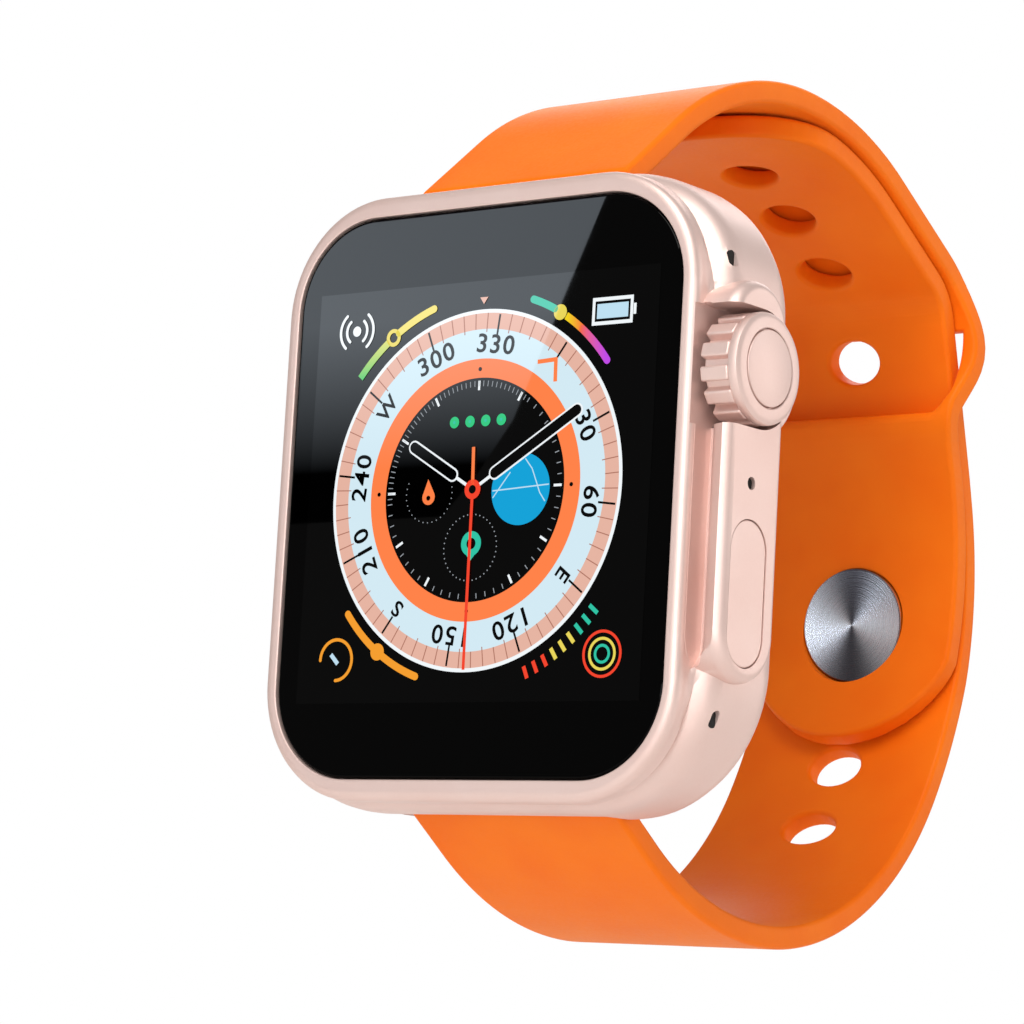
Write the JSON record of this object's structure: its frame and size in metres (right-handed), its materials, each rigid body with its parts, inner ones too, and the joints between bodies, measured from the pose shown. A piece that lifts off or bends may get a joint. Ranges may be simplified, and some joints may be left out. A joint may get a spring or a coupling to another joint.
{
  "type": "wrist watch",
  "caption": "Square touch-screen wrist watch with a toothed crown, a side button and a silicone band closed by a stud and tucked tail.",
  "frame": {"origin": "centre of the flat charging face on the back of the case, where the watch rests on the wrist", "axes": "+Z towards twelve o'clock, -Y the way the screen faces, +X towards the crown"},
  "size_m": [0.0466, 0.0606, 0.0714],
  "materials": {
    "case_metal": "satin anodised, pink champagne",
    "cover_glass": "polished, black border behind the edge",
    "display": "lit display under the glass",
    "seal_rubber": "matt",
    "flex_film": "polyimide film over copper",
    "inner_alloy": "as machined",
    "circuit_board": "solder mask",
    "tin_plate": "tin plated",
    "cell_pouch": "laminated foil pouch",
    "black_plastic": "moulded",
    "mesh_steel": "woven acoustic mesh",
    "bushing_brass": "turned",
    "spring_steel": "drawn",
    "white_plastic": "moulded acetal",
    "turned_steel": "turned",
    "back_black": "polished",
    "sensor_glass": "dark tinted",
    "coil_copper": "enamelled copper winding",
    "magnet": "nickel plated",
    "silicone": "satin orange silicone",
    "disc_steel": "spun, circular brushed"
  },
  "bodies": {
    "case": {"case_frame": "case_metal", "front_glass": "cover_glass", "glass_gasket": "seal_rubber", "display_panel": "display", "display_flex": "flex_film", "midframe": "inner_alloy", "main_board": "circuit_board", "shield_cans": "tin_plate", "battery": "cell_pouch", "battery_flex": "flex_film", "vibration_motor": "tin_plate", "speaker_driver": "black_plastic", "speaker_mesh": "mesh_steel", "microphone_meshes": "mesh_steel", "crown_bushing": "bushing_brass", "crown_bracket": "inner_alloy", "crown_encoder": "black_plastic", "crown_switch": "tin_plate", "crown_spring": "spring_steel", "side_button_switch": "tin_plate", "side_button_springs": "spring_steel", "back_cover": "back_black", "back_gasket": "seal_rubber", "back_screws": "turned_steel", "sensor_window": "sensor_glass", "sensor_board": "circuit_board", "charging_coil": "coil_copper", "alignment_magnet": "magnet", "release_spring_upper": "spring_steel", "release_spring_lower": "spring_steel", "latch_spring_upper": "spring_steel", "latch_spring_lower": "spring_steel"},
    "crown_plunger_body": {"crown_plunger": "white_plastic"},
    "crown": {"crown_shaft": "turned_steel", "crown_seal": "seal_rubber", "crown_knob": "case_metal", "crown_cap": "case_metal"},
    "side_button_body": {"side_button": "case_metal", "side_button_seals": "seal_rubber", "side_button_clip": "spring_steel"},
    "release_upper": {"release_button_upper": "case_metal"},
    "release_lower": {"release_button_lower": "case_metal"},
    "band": {"strap_upper": "silicone", "strap_lower": "silicone", "lug_core_upper": "turned_steel", "lug_core_lower": "turned_steel", "clasp_disc": "disc_steel", "clasp_stud": "disc_steel"}
  },
  "joints": [
    {"name": "crown_press", "type": "slide", "parent": "case", "child": "crown_plunger_body", "axis": [-1, 0, 0], "range_m": [0, 0.0005], "stiffness_N_per_m": 4000, "deforming": ["crown_spring"]},
    {"name": "crown_spin", "type": "hinge", "parent": "crown_plunger_body", "child": "crown", "pos_m": [0.021, -0.0086, 0.0088], "axis": [1, 0, 0], "continuous": true},
    {"name": "side_button_press", "type": "slide", "parent": "case", "child": "side_button_body", "axis": [-1, 0, 0], "range_m": [0, 0.0004], "stiffness_N_per_m": 5000, "deforming": ["side_button_springs"]},
    {"name": "release_upper_press", "type": "slide", "parent": "case", "child": "release_upper", "axis": [0, -1, 0], "range_m": [0, 0.0006], "stiffness_N_per_m": 2000, "deforming": ["release_spring_upper"]},
    {"name": "release_lower_press", "type": "slide", "parent": "case", "child": "release_lower", "axis": [0, -1, 0], "range_m": [0, 0.0006], "stiffness_N_per_m": 2000, "deforming": ["release_spring_lower"]},
    {"name": "band_slide", "type": "slide", "parent": "case", "child": "band", "axis": [-1, 0, 0], "range_m": [0, 0.046], "deforming": ["latch_spring_upper", "latch_spring_lower"]}
  ]
}
